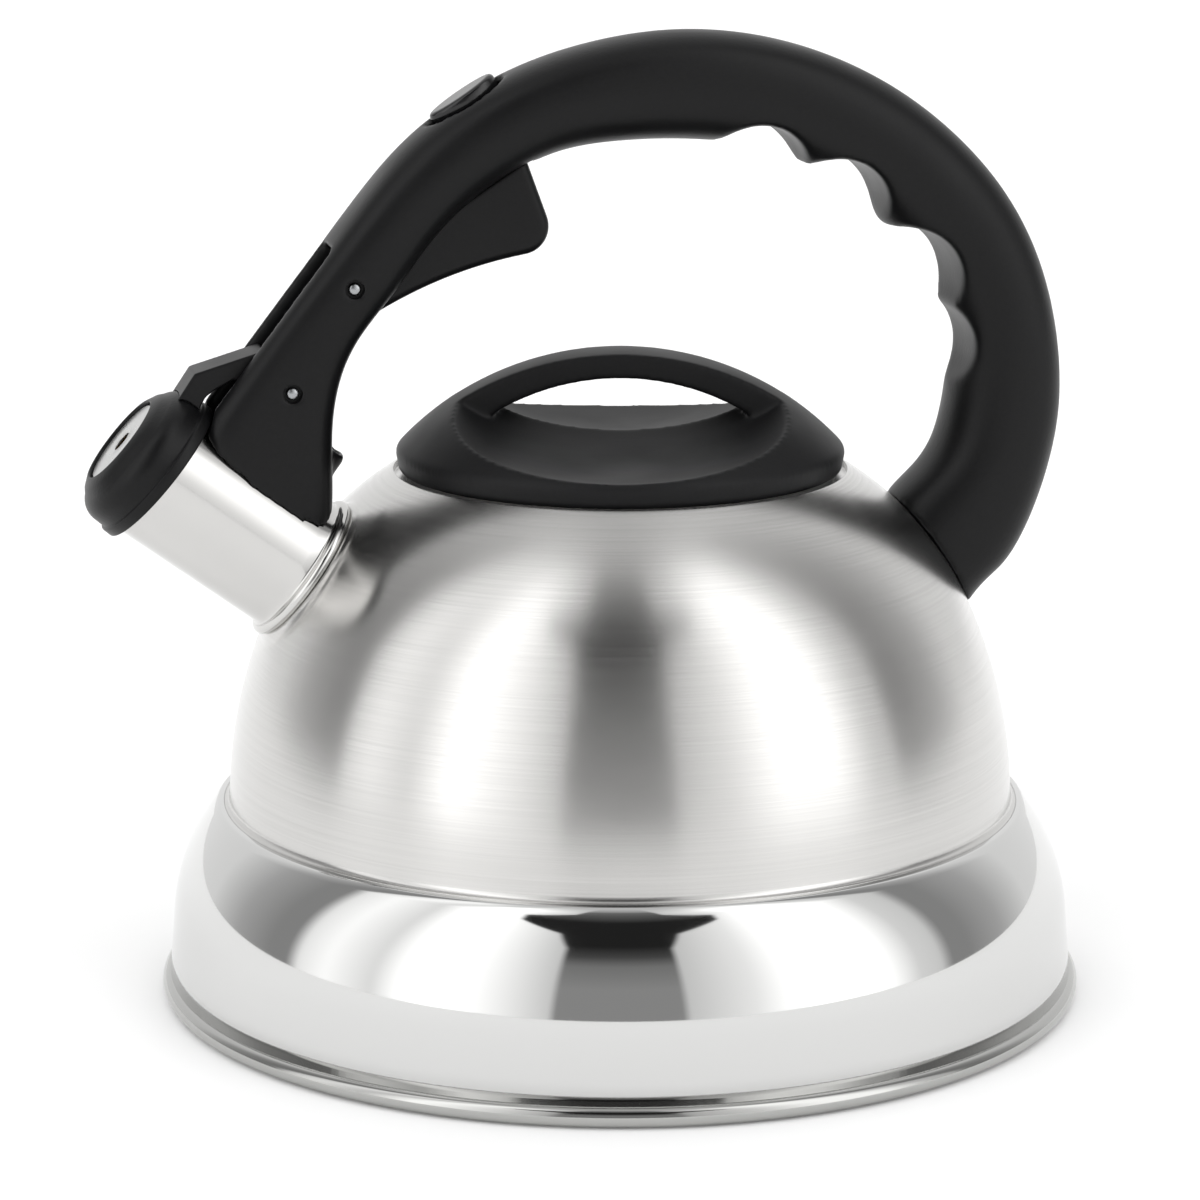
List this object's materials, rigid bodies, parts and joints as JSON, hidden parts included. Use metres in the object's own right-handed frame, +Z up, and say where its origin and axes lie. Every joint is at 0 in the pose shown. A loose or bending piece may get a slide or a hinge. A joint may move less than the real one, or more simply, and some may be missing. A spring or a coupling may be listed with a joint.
{
  "type": "stovetop whistling kettle",
  "caption": "Domed steel stovetop kettle with a whistle cap on a straight spout, a bow handle with finger grooves, a trigger that lifts the cap, and a lift-off lid.",
  "frame": {"origin": "centre of the base's underside, on the hob", "axes": "+Z up, -X towards the spout, +X towards the rear foot of the handle, the handle's bow in the XZ plane"},
  "size_m": [0.2357, 0.22, 0.2272],
  "materials": {
    "brushed_steel": "circumferentially brushed stainless steel",
    "polished_steel": "mirror-polished stainless steel",
    "base_steel": "turned stainless steel",
    "heat_aluminium": "pressed aluminium",
    "inner_steel": "plain stainless sheet",
    "whistle_brass": "turned brass",
    "black_nylon": "fine-grained satin black nylon",
    "lid_nylon": "matt charcoal black nylon",
    "gloss_button": "polished black",
    "silicone": "moulded silicone",
    "bright_fasteners": "bright zinc-plated steel",
    "spring_steel": "drawn spring wire"
  },
  "bodies": {
    "kettle": {"dome_shell": "brushed_steel", "base_shell": "polished_steel", "bottom_pan": "polished_steel", "heat_disc": "heat_aluminium", "base_cap": "base_steel", "spout_tube": "brushed_steel", "handle": "black_nylon", "front_bracket": "inner_steel", "front_screw": "bright_fasteners", "rear_bracket": "inner_steel", "rear_screw": "bright_fasteners", "trigger_pin": "bright_fasteners", "arm_pin": "bright_fasteners", "button_spring": "spring_steel"},
    "trigger": {"trigger": "black_nylon"},
    "spout_cap": {"cap_arm": "black_nylon", "cap_shell": "black_nylon", "whistle_front_disc": "brushed_steel", "whistle_chamber": "whistle_brass", "whistle_back_plate": "inner_steel", "cap_gasket": "silicone", "arm_spring": "spring_steel"},
    "lid": {"lid_cover": "lid_nylon", "lid_pan": "inner_steel", "lid_gasket": "silicone", "lid_screws": "bright_fasteners"},
    "button": {"thumb_button": "gloss_button"}
  },
  "joints": [
    {"name": "trigger_pull", "type": "hinge", "parent": "kettle", "child": "trigger", "pos_m": [-0.0643, 0, 0.1707], "axis": [0, -1, 0], "range_deg": [0, 12.5]},
    {"name": "cap_tilt", "type": "hinge", "parent": "kettle", "child": "spout_cap", "pos_m": [-0.0789, 0, 0.1472], "axis": [0, 1, 0], "range_deg": [0, 40], "stiffness_Nm_per_rad": 0.05, "springref_deg": -20.05},
    {"name": "lid_lift", "type": "slide", "parent": "kettle", "child": "lid", "axis": [0, 0, 1], "range_m": [0, 0.022]},
    {"name": "thumb_button_press", "type": "slide", "parent": "kettle", "child": "button", "axis": [0.5505, 0, -0.8348], "range_m": [0, 0.002], "stiffness_N_per_m": 400, "springref_m": -0.002, "deforming": ["button_spring"]}
  ],
  "couplings": [
    {"joint": "cap_tilt", "follows": "trigger_pull", "ratio": 3.2}
  ]
}
